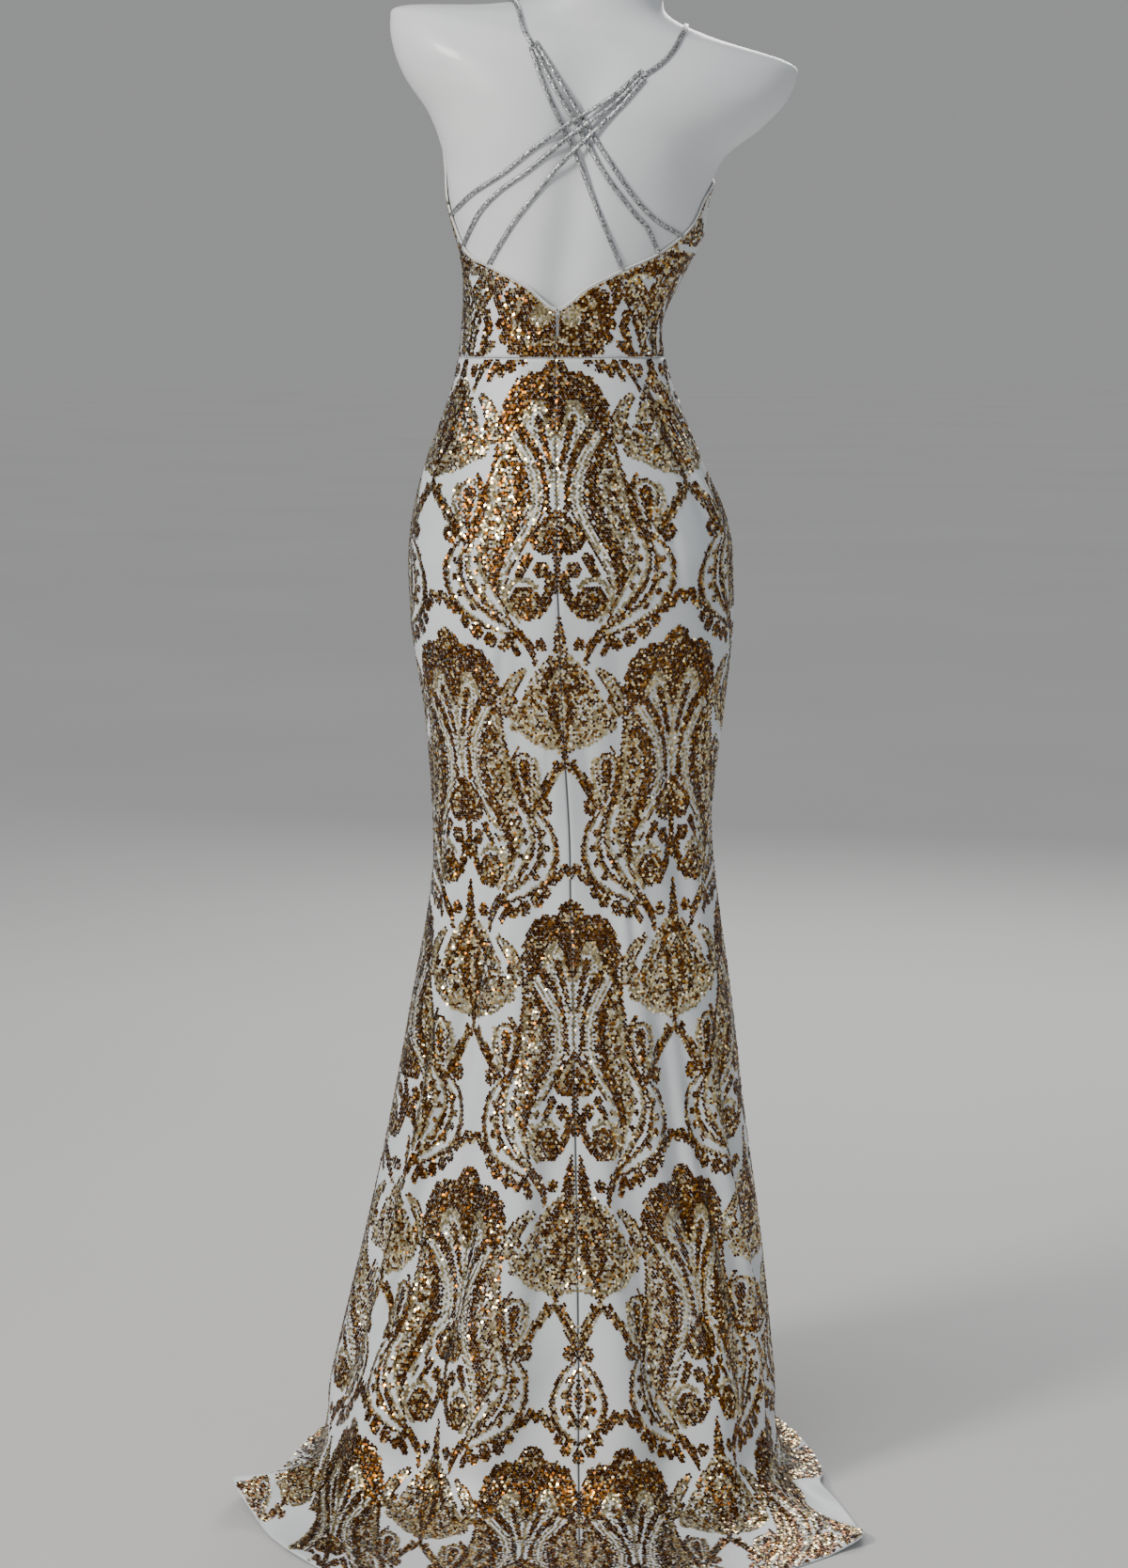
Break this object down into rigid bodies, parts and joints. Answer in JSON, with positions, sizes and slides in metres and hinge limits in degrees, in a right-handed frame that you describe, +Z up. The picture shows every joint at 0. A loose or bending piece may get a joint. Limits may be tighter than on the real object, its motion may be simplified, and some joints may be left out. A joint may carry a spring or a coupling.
{
  "type": "evening gown on a limbless dress form",
  "caption": "Floor-length trumpet evening gown with crossed back straps and a sweep train, worn by a smooth limbless dress form on a round base.",
  "frame": {"origin": "centre of the stand base's underside, on the floor", "axes": "+Z up; the wearer's front faces -Y, so the open back and the train face +Y; the wearer's left is +X"},
  "size_m": [0.6607, 0.725, 1.6481],
  "materials": {
    "gown_cloth": "pale grey-white satin with bronze and champagne sequins in a paisley damask",
    "binding": "narrow pale satin binding",
    "strap_lurex": "silver lurex rouleau",
    "zip_metal": "polished nickel",
    "zip_tape": "woven tape",
    "form_white": "smooth satin white",
    "stand_metal": "polished steel"
  },
  "bodies": {
    "gown": {"bodice_back_left": "gown_cloth", "bodice_back_right": "gown_cloth", "bodice_front": "gown_cloth", "skirt_back_left": "gown_cloth", "skirt_back_right": "gown_cloth", "skirt_front": "gown_cloth", "neck_binding_back_left": "binding", "neck_binding_back_right": "binding", "neck_binding_front": "binding", "strap_back_left_1": "strap_lurex", "strap_back_left_2": "strap_lurex", "strap_back_left_3": "strap_lurex", "strap_back_right_1": "strap_lurex", "strap_back_right_2": "strap_lurex", "strap_back_right_3": "strap_lurex", "strap_shoulder_left": "strap_lurex", "strap_shoulder_right": "strap_lurex", "strap_tack_left": "strap_lurex", "strap_tack_right": "strap_lurex", "zip_slider": "zip_metal", "zip_tape": "zip_tape", "form_torso": "form_white", "stand_flange": "stand_metal", "stand_pole": "stand_metal", "stand_base": "stand_metal"},
    "pull_tab": {"zip_pull": "zip_metal"}
  },
  "joints": [
    {"name": "pull_tab_hinge", "type": "hinge", "parent": "gown", "child": "pull_tab", "pos_m": [0.0067, 0.08066, 1.2601], "axis": [1, 0, 0], "range_deg": [0, 150]}
  ]
}
